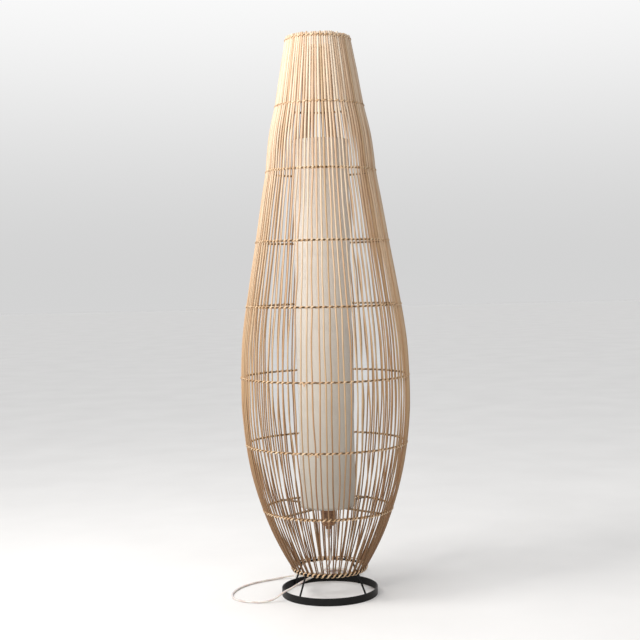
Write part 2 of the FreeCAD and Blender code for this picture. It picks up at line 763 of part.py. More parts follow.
def plug_pins():
    """Two round pins with thinner roots inside the plug."""
    face = plug_entry[1] + plug_relief_length + plug_length
    tip = face + pin_length
    roots = pin_rods(pin_root_radius, face - pin_seat + thread_gap, tip - pin_length / 2)
    pins = []
    for root, pin in zip(roots, pin_rods(pin_radius, face + touch_gap, tip)):
        end = [e for e in pin.Edges if e.BoundBox.YMin > tip - pin_round]
        pins.append(pin.makeFillet(pin_round, end).fuse(root).removeSplitter().Solids[0])
    return pins


def plug():
    export("plug_body", plug_body())
    export("plug_pins", *plug_pins())


# ---------------------------------------------------------------- the whole lamp

os.makedirs("parts", exist_ok=True)
print("sticks:", sticks())
hoops()
bindings()
foot()
carrier()
lampholder()
bulb()
diffuser()
cord()
switch()
plug()
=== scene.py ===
import math
import random

import bpy
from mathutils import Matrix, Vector


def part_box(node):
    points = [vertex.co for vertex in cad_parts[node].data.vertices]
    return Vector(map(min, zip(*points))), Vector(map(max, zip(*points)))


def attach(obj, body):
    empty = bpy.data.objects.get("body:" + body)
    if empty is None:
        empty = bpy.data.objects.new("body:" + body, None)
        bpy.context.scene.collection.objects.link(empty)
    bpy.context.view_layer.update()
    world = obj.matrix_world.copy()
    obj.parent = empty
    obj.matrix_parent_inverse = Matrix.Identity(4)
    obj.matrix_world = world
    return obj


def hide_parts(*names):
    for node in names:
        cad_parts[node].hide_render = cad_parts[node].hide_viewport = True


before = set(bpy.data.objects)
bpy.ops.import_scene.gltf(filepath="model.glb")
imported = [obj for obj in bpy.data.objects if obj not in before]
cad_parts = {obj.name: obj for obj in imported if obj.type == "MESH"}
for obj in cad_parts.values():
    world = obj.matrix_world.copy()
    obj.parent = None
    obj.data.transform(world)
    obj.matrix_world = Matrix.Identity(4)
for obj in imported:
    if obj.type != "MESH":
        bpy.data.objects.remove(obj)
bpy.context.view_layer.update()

random.seed(23)

# ---------------------------------------------------------------- steel foot, wire hoops and carrier
# The foot is a flat steel strip rolled into a ring, with four round bars welded up its inside to the shade's
# rim wire, in a satin black powder coat. The hoops of round wire and the carrier are lacquered brown.


def new_finish(name, roughness, metallic=0.0):
    """A material with one shader; gives the material, its node tree and the shader."""
    material = bpy.data.materials.new(name)
    material.use_nodes = True
    shader = material.node_tree.nodes["Principled BSDF"]
    shader.inputs["Roughness"].default_value = roughness
    shader.inputs["Metallic"].default_value = metallic
    return material, material.node_tree, shader


def noise(tree, scale, stretch=(1, 1, 1), detail=4.0, place="Object"):
    """Noise of about scale specks a metre, more of them along an axis with a higher stretch."""
    spot, mapping = tree.nodes.new("ShaderNodeTexCoord"), tree.nodes.new("ShaderNodeMapping")
    mapping.inputs["Scale"].default_value = stretch
    tree.links.new(spot.outputs[place], mapping.inputs["Vector"])
    specks = tree.nodes.new("ShaderNodeTexNoise")
    specks.inputs["Scale"].default_value = scale
    specks.inputs["Detail"].default_value = detail
    tree.links.new(mapping.outputs["Vector"], specks.inputs["Vector"])
    return specks.outputs["Fac"]


def ramp(tree, amount, *stops):
    """The colour for an amount, from (place, red, green, blue) stops."""
    made = tree.nodes.new("ShaderNodeValToRGB")
    while len(made.color_ramp.elements) < len(stops):
        made.color_ramp.elements.new(0.5)
    for element, (place, *colour) in zip(made.color_ramp.elements, stops):
        element.position = place
        element.color = (*colour, 1)
    tree.links.new(amount, made.inputs["Fac"])
    return made.outputs["Color"]


def raised(tree, shader, amount, height):
    """Gives the surface a relief of that height in metres."""
    bump = tree.nodes.new("ShaderNodeBump")
    bump.inputs["Distance"].default_value = height
    tree.links.new(amount, bump.inputs["Height"])
    tree.links.new(bump.outputs["Normal"], shader.inputs["Normal"])


def rough_between(tree, shader, amount, low, high):
    """Roughness that goes from low to high with an amount."""
    spread = tree.nodes.new("ShaderNodeMapRange")
    spread.inputs["To Min"].default_value = low
    spread.inputs["To Max"].default_value = high
    tree.links.new(amount, spread.inputs["Value"])
    tree.links.new(spread.outputs["Result"], shader.inputs["Roughness"])


def give(material, *names):
    """Puts a finish on CAD nodes."""
    for name in names:
        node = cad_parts[name]
        if not node.material_slots:
            node.data.materials.append(material)
        for seat in node.material_slots:
            seat.material = material


powder_coat, tree, shader = new_finish("satin_black_powder_coat", 0.42)
shader.inputs["Specular IOR Level"].default_value = 0.22
patches = noise(tree, 60)
tree.links.new(ramp(tree, patches, (0.3, 0.0035, 0.0035, 0.0036), (0.75, 0.008, 0.008, 0.0078)),
               shader.inputs["Base Color"])
rough_between(tree, shader, patches, 0.36, 0.55)
raised(tree, shader, noise(tree, 900, detail=2.0), 0.00006)
leg_names = ["leg_front_left", "leg_front_right", "leg_rear_left", "leg_rear_right"]
give(powder_coat, "foot_ring", "bottom_rim_wire", *leg_names)

HOOPS = 8
hoop_names = [f"hoop_wire_{k}" for k in range(1, HOOPS + 1)]
brown_wire, tree, shader = new_finish("brown_lacquered_wire", 0.5)
shader.inputs["Specular IOR Level"].default_value = 0.3
rubbed = noise(tree, 240)
tree.links.new(ramp(tree, rubbed, (0.3, 0.12, 0.072, 0.034), (0.7, 0.26, 0.170, 0.088)),
               shader.inputs["Base Color"])
rough_between(tree, shader, rubbed, 0.42, 0.62)
raised(tree, shader, noise(tree, 1100, detail=2.0), 0.00005)
give(brown_wire, "lampholder_carrier", *hoop_names)

# ---------------------------------------------------------------- rattan sticks
# Eighty-eight peeled rattan rods, about 6 mm across near the top and under 4 mm at the foot, a little out
# of round. They stand in pairs at the two upper hoops and at the foot, and no two have the same shade.

STICK = 0.0046                # mean diameter
STICK_FOOT, STICK_TOP = 0.073, 1.500
BELLY_HEIGHT, BELLY_RADIUS = 0.560, 0.2255
TOP_RADIUS, FOOT_RADIUS = 0.0833, 0.099
# Radii of the side's three bends, as shares of the one arc that would join the belly to the top or the foot
UPPER_SHARE, LOWER_SHARE, FOOT_SHARE = 0.431, 1.185, 0.869
PER_SECTOR = 11
SECTORS = ["front", "front_right", "right", "rear_right", "rear", "rear_left", "left", "front_left"]
STICKS = PER_SECTOR * len(SECTORS)
PITCH = 2 * math.pi / STICKS
RINGS, SIDES = 78, 10         # of a rod's mesh
WIRE = 0.004
TOUCH = 0.00005               # between pieces that lie on each other
WAYWARD_SHARE, WAYWARD = 0.07, 2.6    # some rods stray further than the others
SAG, DRIFT = 0.0012, 0.35     # how far a rod hangs sideways between two hoops
BELLY_OUT = 0.0045            # how far the rods bow out between the second and third hoops


def one_arc(rise, inset):
    """Radius of the arc that starts upright and comes in by an inset over a rise."""
    return (rise ** 2 + inset ** 2) / (2 * inset)


lower_arc = one_arc(BELLY_HEIGHT - STICK_FOOT, BELLY_RADIUS - FOOT_RADIUS)
UPPER_BEND = UPPER_SHARE * one_arc(STICK_TOP - BELLY_HEIGHT, BELLY_RADIUS - TOP_RADIUS)
LOWER_BEND, FOOT_BEND = LOWER_SHARE * lower_arc, FOOT_SHARE * lower_arc
upper_rise, upper_inset = STICK_TOP - BELLY_HEIGHT, UPPER_BEND - (BELLY_RADIUS - TOP_RADIUS)
UPPER_LEAN = math.atan2(upper_rise, upper_inset) - math.acos(UPPER_BEND / math.hypot(upper_rise, upper_inset))
BEND_RISE = UPPER_BEND * math.sin(UPPER_LEAN)
lower_reach, lower_drop = LOWER_BEND - (BELLY_RADIUS - FOOT_RADIUS), BELLY_HEIGHT - STICK_FOOT
chord, bend_step = math.hypot(lower_reach, lower_drop), LOWER_BEND - FOOT_BEND
FOOT_LEAN = math.atan2(lower_drop, lower_reach) - math.acos(
    (chord ** 2 + bend_step ** 2 - FOOT_BEND ** 2) / (2 * bend_step * chord))
FOOT_BEND_TOP = BELLY_HEIGHT - LOWER_BEND * math.sin(FOOT_LEAN)


def side(height):
    """Radius of a stick's middle at a height, and its lean out from upright."""
    rise = height - BELLY_HEIGHT
    if rise >= BEND_RISE:
        start = BELLY_RADIUS - UPPER_BEND * (1 - math.cos(UPPER_LEAN))
        return start - (rise - BEND_RISE) * math.tan(UPPER_LEAN), -UPPER_LEAN
    if rise >= 0:
        lean = -math.asin(rise / UPPER_BEND)
        return BELLY_RADIUS - UPPER_BEND * (1 - math.cos(lean)), lean
    if height >= FOOT_BEND_TOP:
        lean = math.asin(-rise / LOWER_BEND)
        return BELLY_RADIUS - LOWER_BEND * (1 - math.cos(lean)), lean
    lean = math.asin(math.sin(FOOT_LEAN) + (FOOT_BEND_TOP - height) / FOOT_BEND)
    start = BELLY_RADIUS - LOWER_BEND * (1 - math.cos(FOOT_LEAN))
    return start - FOOT_BEND * (math.cos(FOOT_LEAN) - math.cos(lean)), lean


def lashed_level(hoop):
    """Height on the stick that a hoop's wire lies against."""
    low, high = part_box(hoop)
    height = (low.z + high.z) / 2
    return height - (STICK / 2 + WIRE / 2 + TOUCH) * math.sin(side(height)[1])


hoop_levels = [lashed_level(name) for name in hoop_names]

# Rattan tapers: a rod's thickness at heights, the thin end at the foot
THICKNESS = [(STICK_FOOT, 0.0037), (0.30, 0.0039), (0.56, 0.0041), (0.95, 0.0044), (1.15, 0.0053),
             (1.33, 0.0068), (1.41, 0.0064), (STICK_TOP, 0.0057)]

# Heights where sticks are held, how far they stand as pairs there, and how far one may stray sideways
HOLDS = [(STICK_FOOT, 1.0, 0.0004), (hoop_levels[7], 0.1, 0.0016), (hoop_levels[6], 0.0, 0.0021),
         (hoop_levels[5], 0.0, 0.0023), (hoop_levels[4], 0.0, 0.0020), (hoop_levels[3], 0.0, 0.0014),
         (hoop_levels[2], 0.05, 0.0009), (hoop_levels[1], 0.9, 0.0005), (hoop_levels[0], 1.0, 0.0003)]


def eased(table, height):
    """A smooth value at a height, from a table's rows of height and value."""
    last = len(table) - 1
    k = max(0, min(last - 1, sum(height > row[0] for row in table) - 1))
    (z0, v0), (z1, v1) = table[k], table[k + 1]
    before, after = table[max(k - 1, 0)], table[min(k + 2, last)]
    slope0 = (v1 - before[1]) / (z1 - before[0])
    slope1 = (after[1] - v0) / (after[0] - z0)
    t, span = (height - z0) / (z1 - z0), z1 - z0
    return ((2 * t ** 3 - 3 * t ** 2 + 1) * v0 + (t ** 3 - 2 * t ** 2 + t) * span * slope0
            + (3 * t ** 2 - 2 * t ** 3) * v1 + (t ** 3 - t ** 2) * span * slope1)


def thickness(height):
    """A middling rod's diameter at a height."""
    return eased(THICKNESS, min(max(height, STICK_FOOT), STICK_TOP))


def bulge(height):
    """The rods bow out a little between the second and third hoops."""
    share = (height - hoop_levels[2]) / (hoop_levels[1] - hoop_levels[2])
    return BELLY_OUT * math.sin(math.pi * share) if 0 < share < 1 else 0.0


def stick_angles():
    """For each stick, its angle round the lamp at every hold, and half way between, as a table."""
    tables = []
    for number in range(STICKS):
        pair, half = number // 2, -1 if number % 2 == 0 else 1
        middle = -math.pi / 2 + PITCH * (2 * pair - (PER_SECTOR - 2) / 2)
        table, sag = [], random.gauss(0, SAG)
        wayward = WAYWARD if random.random() < WAYWARD_SHARE else 1.0
        for k, (height, paired, stray) in enumerate(HOLDS):
            radius = side(height)[0]
            beside = (1 - paired) * PITCH / 2 + paired * (thickness(height) / 2 + 2 * TOUCH) / radius
            angle = middle + half * beside + wayward * random.uniform(-stray, stray) / radius
            if k:
                last_height, last_angle = table[-1]
                between = (height + last_height) / 2
                drift = sag + random.gauss(0, DRIFT * stray)
                table.append((between, (angle + last_angle) / 2 + drift / side(between)[0] * (1 - paired)))
            table.append((height, angle))
        tables.append(table)
    return tables


def place_at(angle, radius, height):
    """A point at an angle round the lamp, or a direction when radius and height are its parts."""
    return Vector((radius * math.cos(angle), radius * math.sin(angle), height))


def swept(name, runs, sides):
    """A mesh of oval strands swept along lines; u goes round a strand and v along it, in metres.
    A run has line, outward, size as (wide, thick), tone and closed; the first four hold one item a ring."""
    points, faces, spots, tones = [], [], [], []
    for run in runs:
        base, line, closed = len(points), run["line"], run["closed"]
        count, along = len(line), [random.uniform(0, 3)]
        for i, here in enumerate(line):
            before = line[i - 1] if i or closed else here
            after = line[(i + 1) % count] if i < count - 1 or closed else here
            forward = (after - before).normalized()
            across = forward.cross(run["outward"][i]).normalized()
            out = across.cross(forward)
            wide, thick = run["size"][i]
            for k in range(sides):
                turn = 2 * math.pi * k / sides
                points.append(here + across * (wide / 2 * math.cos(turn))
                              + out * (thick / 2 * math.sin(turn)))
                tones.append(run["tone"][i])
            along.append(along[-1] + (line[(i + 1) % count] - here).length)
        round_step = math.pi * run["size"][0][0] / sides
        for i in range(count if closed else count - 1):
            ahead = (i + 1) % count
            for k in range(sides):
                beside = (k + 1) % sides
                faces.append((base + i * sides + k, base + ahead * sides + k,
                              base + ahead * sides + beside, base + i * sides + beside))
                u, v = k * round_step, along[i:i + 2]
                spots += [(u, v[0]), (u, v[1]), (u + round_step, v[1]), (u + round_step, v[0])]
        if not closed:
            for ring, order in ((0, 1), (count - 1, -1)):
                faces.append(tuple(base + ring * sides + k for k in range(sides))[::order])
                spots += [(0.5 * round_step * math.cos(k), along[0]) for k in range(sides)]
    mesh = bpy.data.meshes.new(name)
    mesh.from_pydata(points, [], faces)
    mesh.uv_layers.new(name="lengthwise").data.foreach_set("uv", [x for spot in spots for x in spot])
    mesh.attributes.new("tone", "FLOAT", "POINT").data.foreach_set("value", tones)
    mesh.shade_smooth()
    piece = bpy.data.objects.new(name, mesh)
    bpy.context.scene.collection.objects.link(piece)
    return piece


def stick_run(table):
    """One rod's line and shape. Its ends are cut by eye, so their heights differ a little."""
    low, high = STICK_FOOT + random.uniform(0, 0.001), STICK_TOP - random.uniform(0, 0.0035)
    bow = [(row[0], 0.0 if k % 2 == 0 else random.uniform(-0.0003, 0.0011)) for k, row in enumerate(table)]
    girth, wave = random.uniform(0.90, 1.04), random.uniform(0, 6)
    run = {"line": [], "outward": [], "size": [], "closed": False}
    for i in range(RINGS):
        height = low + (high - low) * i / (RINGS - 1)
        radius, lean = side(height)
        held = min(height, table[-1][0])
        angle = eased(table, held)
        swell = girth * (1 + 0.03 * math.sin(wave + height * 31) + 0.02 * math.sin(wave + height * 77))
        wide, thick = thickness(height) * swell, thickness(height) * swell * 0.96
        out = (thick - STICK) / 2 + eased(bow, held) + bulge(height)
        run["line"].append(place_at(angle, radius + out * math.cos(lean), height - out * math.sin(lean)))
        run["outward"].append(place_at(angle, math.cos(lean), -math.sin(lean)))
        run["size"].append((wide, thick))
    run["tone"] = [random.random()] * RINGS
    return run


def attribute(tree, name):
    """A number stored on the mesh."""
    made = tree.nodes.new("ShaderNodeAttribute")
    made.attribute_name = name
    return made.outputs["Fac"]


def mixed(tree, amount, first, second, kind="MIX"):
    """Two colours mixed by an amount, or by a fixed share. The second may be a plain red, green and blue."""
    mix = tree.nodes.new("ShaderNodeMix")
    mix.data_type, mix.blend_type = "RGBA", kind
    if isinstance(amount, float):
        mix.inputs[0].default_value = amount
    else:
        tree.links.new(amount, mix.inputs[0])
    tree.links.new(first, mix.inputs[6])
    if isinstance(second, tuple):
        mix.inputs[7].default_value = (*second, 1)
    else:
        tree.links.new(second, mix.inputs[7])
    return mix.outputs[2]


def share_of_height(tree):
    """0 at the feet of the sticks, 1 at their upper ends."""
    split = tree.nodes.new("ShaderNodeSeparateXYZ")
    tree.links.new(tree.nodes.new("ShaderNodeTexCoord").outputs["Object"], split.inputs["Vector"])
    rise = tree.nodes.new("ShaderNodeMapRange")
    rise.inputs["From Min"].default_value = STICK_FOOT
    rise.inputs["From Max"].default_value = STICK_TOP
    tree.links.new(split.outputs["Z"], rise.inputs["Value"])
    return rise.outputs["Result"]


def peeled_rattan():
    """Satin rattan: every rod has its own tone, with fine fibres along it and painted shade that makes the
    rods darker and browner towards their feet.
    """
    material, tree, shader = new_finish("peeled_rattan", 0.5)
    tone = ramp(tree, attribute(tree, "tone"),
                (0.0, 0.60, 0.44, 0.27), (0.14, 0.72, 0.52, 0.36), (0.38, 0.78, 0.59, 0.42),
                (0.6, 0.82, 0.66, 0.50), (0.82, 0.84, 0.71, 0.56), (1.0, 0.86, 0.76, 0.64))
    fibres = noise(tree, 1.0, (2600, 22, 1), 5.0, "UV")
    stains = noise(tree, 1.0, (120, 9, 1), 3.0, "UV")
    dark_fibres = ramp(tree, fibres, (0.25, 0.62, 0.54, 0.46), (0.65, 1, 1, 1))
    brown_spots = ramp(tree, stains, (0.3, 0.74, 0.62, 0.50), (0.58, 1, 1, 1))
    streaked = mixed(tree, 0.55, tone, dark_fibres, "MULTIPLY")
    stained = mixed(tree, 0.45, streaked, brown_spots, "MULTIPLY")
    # Painted shade: the rods' colour is darkened towards their feet, standing in for the light that falls off
    # near the floor.
    painted_shade_to_feet = ramp(tree, share_of_height(tree), (0.0, 0.27, 0.18, 0.10), (0.15, 0.42, 0.30, 0.19),
                       (0.34, 0.72, 0.60, 0.45), (0.62, 0.90, 0.84, 0.76), (1.0, 1.0, 1.0, 1.0))
    tree.links.new(mixed(tree, 1.0, stained, painted_shade_to_feet, "MULTIPLY"), shader.inputs["Base Color"])
    rough_between(tree, shader, fibres, 0.42, 0.62)
    raised(tree, shader, fibres, 0.00012)
    return material


rattan = peeled_rattan()
angles = stick_angles()
for k, sector in enumerate(SECTORS):
    runs = [stick_run(angles[(k * PER_SECTOR + i) % STICKS]) for i in range(PER_SECTOR)]
    rods = swept(f"rattan_rods_{sector}", runs, SIDES)
    rods.data.materials.append(rattan)
    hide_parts(f"sticks_{sector}")
    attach(rods, "lamp")

# ---------------------------------------------------------------- cane binding
# A strip of split cane is twined along each hoop: over a stick on the outside, in through the gap, behind
# the wire and out again. At the two upper hoops and the foot it takes the sticks two at a time.

CANE_WIDE, CANE_THICK = 0.0042, 0.0012
RIM_CANE_WIDE, RIM_CANE_THICK = 0.0046, 0.0018
RIM_WIRE = 0.006
RIM_DROP, RIM_ROOM = 0.0010, 0.0020   # of the rim's loops, below the stick feet and beyond its wire
PAIRED_HOOPS = 2
TURN_STEPS, TAIL_STEPS = 14, 9
SQUARENESS = 0.62             # 1 makes round loops, less makes squarer ones
OUTER_SHARE = 0.84            # of the way from stick to stick that the strip lies outside


def squared(value):
    """A sine or cosine, brought nearer to a square wave."""
    return math.copysign(abs(value) ** SQUARENESS, value)


def stations(level, in_pairs):
    """Angles of the sticks, or of the middles of pairs, and half the width of each, at a height."""
    at = [eased(table, min(level, table[-1][0])) for table in angles]
    if not in_pairs:
        return at, thickness(level) / 2
    return [(a + b) / 2 for a, b in zip(at[::2], at[1::2])], thickness(level)


def twined(level, wide, thick, centre, reach, in_pairs):
    """A closed strand that loops once for each stick or pair. centre and reach are the loop's middle and
    half size, square out from the stick and along it."""
    at, half_width = stations(level, in_pairs)
    radius, lean = side(level)
    half_turn = max((half_width + thick) / radius, OUTER_SHARE * math.pi / len(at))
    run = {"line": [], "outward": [], "size": [], "tone": [], "closed": True}
    for k, here in enumerate(at):
        ahead = at[(k + 1) % len(at)] + (2 * math.pi if k == len(at) - 1 else 0)
        tone, loose = random.random(), random.uniform(0.94, 1.08)
        for i in range(TURN_STEPS):
            phase = -math.pi / 2 + 2 * math.pi * i / TURN_STEPS
            if phase <= math.pi / 2:
                angle = here + half_turn * phase / (math.pi / 2)
            else:
                share = (phase - math.pi / 2) / math.pi
                angle = here + half_turn + (ahead - here - 2 * half_turn) * share
            out = centre[0] + reach[0] * squared(math.cos(phase)) * loose
            up = centre[1] + reach[1] * squared(math.sin(phase))
            run["line"].append(place_at(angle, radius + out * math.cos(lean) + up * math.sin(lean),
                                        level - out * math.sin(lean) + up * math.cos(lean)))
            flat_out, flat_up = math.cos(phase), math.sin(phase)
            run["outward"].append(place_at(angle, flat_out * math.cos(lean) + flat_up * math.sin(lean),
                                           flat_up * math.cos(lean) - flat_out * math.sin(lean)))
            run["size"].append((wide, thick))
            run["tone"].append(tone)
    return run


def cane_tail(level, angle, length, lean_over):
    """The cut end of a strip, tucked out over the sticks and hanging a little."""
    run = {"line": [], "outward": [], "size": [], "closed": False}
    radius = side(level)[0] + thickness(level) - STICK / 2 + 1.6 * CANE_THICK
    for i in range(TAIL_STEPS):
        share = i / (TAIL_STEPS - 1)
        drop = length * (share ** 1.3)
        run["line"].append(place_at(angle + lean_over * share / radius, radius + 0.002 * share ** 2,
                                    level + 0.001 - drop))
        run["outward"].append(place_at(angle, 1, 0.2))
        run["size"].append((CANE_WIDE * (1 - 0.25 * share), CANE_THICK))
    run["tone"] = [random.random() * 0.5] * TAIL_STEPS
    return run


def split_cane():
    """Glossier and yellower than the rods, with fibres along the strip."""
    material, tree, shader = new_finish("split_cane", 0.45)
    tone = ramp(tree, attribute(tree, "tone"), (0.0, 0.52, 0.33, 0.17), (0.35, 0.68, 0.46, 0.27),
                (0.7, 0.78, 0.57, 0.36), (1.0, 0.84, 0.66, 0.45))
    fibres = noise(tree, 1.0, (2200, 40, 1), 4.0, "UV")
    dark_fibres = ramp(tree, fibres, (0.3, 0.66, 0.56, 0.46), (0.62, 1, 1, 1))
    tree.links.new(mixed(tree, 0.7, tone, dark_fibres, "MULTIPLY"), shader.inputs["Base Color"])
    rough_between(tree, shader, fibres, 0.36, 0.6)
    raised(tree, shader, fibres, 0.0001)
    return material


cane = split_cane()
in_far = STICK / 2 + WIRE + CANE_THICK / 2 + TOUCH
# Cut ends of the strip that show, by hoop: degrees round the lamp, length, and how far each leans over
tails = {6: [(-104.8, 0.010, 0.006), (-102.5, 0.006, -0.005), (-46.5, 0.009, 0.007)],
         7: [(-99.5, 0.007, -0.008), (-97.0, 0.009, 0.004)], 3: [(-70.0, 0.006, 0.004)],
         5: [(35.0, 0.008, 0.005)], 8: [(128.0, 0.009, -0.005)]}
for number, level in enumerate(hoop_levels, 1):
    out_far = thickness(level) - STICK / 2 + CANE_THICK / 2 + TOUCH
    centre = ((out_far - in_far) / 2, 0.0)
    reach = ((out_far + in_far) / 2, (WIRE + CANE_THICK) / 2 + TOUCH)
    runs = [twined(level, CANE_WIDE, CANE_THICK, centre, reach, number <= PAIRED_HOOPS)]
    for degrees, length, lean_over in tails.get(number, []):
        runs.append(cane_tail(level, math.radians(degrees), length, lean_over))
    band = swept(f"cane_twining_{number}", runs, 8)
    band.data.materials.append(cane)
    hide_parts(f"binding_{number}")
    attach(band, "lamp")

rim_half = (RIM_WIRE + RIM_CANE_THICK) / 2
rim_reach = (rim_half + 2 * TOUCH, rim_half + RIM_ROOM)
rim_run = twined(STICK_FOOT, RIM_CANE_WIDE, RIM_CANE_THICK, (0.0, -RIM_DROP), rim_reach, True)
rim_band = swept("cane_rim_binding", [rim_run], 10)
rim_band.data.materials.append(cane)
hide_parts("binding_bottom_rim")
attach(rim_band, "lamp")

# ---------------------------------------------------------------- lampholder
# An E27 holder of brown phenolic: a cap with a boss for the cord grip, a threaded skirt and two notched
# shade rings that clamp the steel carrier. Inside are a ceramic insert and brass contacts.

phenolic, tree, shader = new_finish("brown_phenolic", 0.35)
swirl = noise(tree, 90, (1, 1, 2.5), 5.0)
tree.links.new(ramp(tree, swirl, (0.3, 0.19, 0.085, 0.036), (0.7, 0.33, 0.165, 0.075)),
               shader.inputs["Base Color"])
rough_between(tree, shader, noise(tree, 300), 0.28, 0.42)
raised(tree, shader, noise(tree, 1400, detail=2.0), 0.00002)
give(phenolic, "lampholder_cap", "lampholder_skirt", "shade_ring_lower", "shade_ring_upper")

ceramic, tree, shader = new_finish("bare_ceramic", 0.75)
specks = noise(tree, 700)
tree.links.new(ramp(tree, specks, (0.35, 0.72, 0.69, 0.62), (0.6, 0.84, 0.82, 0.77)),
               shader.inputs["Base Color"])
raised(tree, shader, specks, 0.00006)
give(ceramic, "lampholder_insert")

brass, tree, shader = new_finish("plain_brass", 0.3, 1.0)
tarnish = noise(tree, 220)
tree.links.new(ramp(tree, tarnish, (0.35, 0.55, 0.36, 0.13), (0.65, 0.80, 0.60, 0.27)),
               shader.inputs["Base Color"])
rough_between(tree, shader, tarnish, 0.45, 0.22)
raised(tree, shader, noise(tree, 60, (1, 1, 40)), 0.00002)
give(brass, "lampholder_thread_shell", "lampholder_centre_contact", "lampholder_terminal_screws")

# ---------------------------------------------------------------- bulb
# A round bulb with an opal glass globe cemented in an aluminium screw cap, and a black glass insulator
# with the centre contact under it. It stands wholly inside the diffuser.

opal, tree, shader = new_finish("opal_glass", 0.22)
haze = noise(tree, 45)
tree.links.new(ramp(tree, haze, (0.3, 0.84, 0.83, 0.79), (0.7, 0.91, 0.90, 0.87)),
               shader.inputs["Base Color"])
rough_between(tree, shader, haze, 0.16, 0.3)
shader.inputs["Coat Weight"].default_value = 0.6
shader.inputs["Coat Roughness"].default_value = 0.08
give(opal, "bulb_globe")

bright_cap, tree, shader = new_finish("bulb_aluminium", 0.3, 1.0)
scuffs = noise(tree, 400, (1, 1, 6))
tree.links.new(ramp(tree, scuffs, (0.3, 0.62, 0.62, 0.63), (0.7, 0.82, 0.82, 0.82)),
               shader.inputs["Base Color"])
rough_between(tree, shader, scuffs, 0.2, 0.42)
give(bright_cap, "bulb_cap")

insulator, tree, shader = new_finish("black_glass_insulator", 0.2)
tree.links.new(ramp(tree, noise(tree, 500), (0.3, 0.008, 0.008, 0.010), (0.7, 0.03, 0.03, 0.035)),
               shader.inputs["Base Color"])
give(insulator, "bulb_tip")

# ---------------------------------------------------------------- diffuser
# A sheet of off-white woven fabric on a stiff film, rolled into a tube, lapped and glued up its back, and
# turned over a white wire ring at each end. It stands on the carrier and lifts out through the top.

sleeve_low, sleeve_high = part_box("diffuser_sleeve")
SLEEVE_RADIUS = sleeve_high.x
SLEEVE_THICK = 0.0008
SLEEVE_LAP = 0.014
HEM = 0.014
HEM_PROUD, LAP_PROUD = 0.0003, 0.0004
HELD_BY_RING = 0.08           # of the sleeve at each end, where it stays round
SLEEVE_ROUND, SLEEVE_UP = 144, 110    # divisions of its mesh


def sleeve_points(inset):
    """Rings of points on the sleeve's outer face, or inset from it. The hems and the lap stand proud."""
    rings = []
    for j in range(SLEEVE_UP + 1):
        share = j / SLEEVE_UP
        height = sleeve_low.z + (sleeve_high.z - sleeve_low.z) * share
        edge = min(height - sleeve_low.z, sleeve_high.z - height)
        hem = HEM_PROUD if edge < HEM else 0.0
        ring = []
        for i in range(SLEEVE_ROUND):
            angle = 2 * math.pi * i / SLEEVE_ROUND
            off_seam = abs((angle - math.pi / 2 + math.pi) % (2 * math.pi) - math.pi) * SLEEVE_RADIUS
            lap = LAP_PROUD * max(0.0, 1 - off_seam / (SLEEVE_LAP / 2)) ** 0.3
            sway = 0.00025 * math.sin(3 * angle + 5 * height) + 0.0002 * math.sin(7 * angle - 11 * height)
            free = min(1.0, edge / HELD_BY_RING)
            radius = SLEEVE_RADIUS - HEM_PROUD + hem + lap + sway * free - inset
            ring.append(place_at(angle, radius, height))
        rings.append(ring)
    return rings


def sleeve_mesh():
    """A closed wall, up its outer face, over the top edge and down its inner face."""
    outer, inner = sleeve_points(0.0), sleeve_points(SLEEVE_THICK)
    layers = outer + inner[::-1]
    points = [point for ring in layers for point in ring]
    faces, spots, total = [], [], len(layers)
    step = 2 * math.pi * SLEEVE_RADIUS / SLEEVE_ROUND
    for j in range(total):
        above = (j + 1) % total
        for i in range(SLEEVE_ROUND):
            beside = (i + 1) % SLEEVE_ROUND
            faces.append((j * SLEEVE_ROUND + i, j * SLEEVE_ROUND + beside,
                          above * SLEEVE_ROUND + beside, above * SLEEVE_ROUND + i))
            v = (layers[j][0].z, layers[above][0].z)
            spots += [(i * step, v[0]), ((i + 1) * step, v[0]), ((i + 1) * step, v[1]), (i * step, v[1])]
    mesh = bpy.data.meshes.new("fabric_sleeve")
    mesh.from_pydata(points, [], faces)
    mesh.uv_layers.new(name="lengthwise").data.foreach_set("uv", [x for spot in spots for x in spot])
    mesh.shade_smooth()
    return mesh


def threads(tree, across, per_metre):
    """Bands of a weave's threads, along u or along v."""
    spot, wave = tree.nodes.new("ShaderNodeTexCoord"), tree.nodes.new("ShaderNodeTexWave")
    wave.wave_type, wave.bands_direction = "BANDS", across
    wave.inputs["Scale"].default_value = per_metre / 20 * math.pi
    wave.inputs["Distortion"].default_value = 0.6
    wave.inputs["Detail"].default_value = 1.0
    tree.links.new(spot.outputs["UV"], wave.inputs["Vector"])
    return wave.outputs["Fac"]


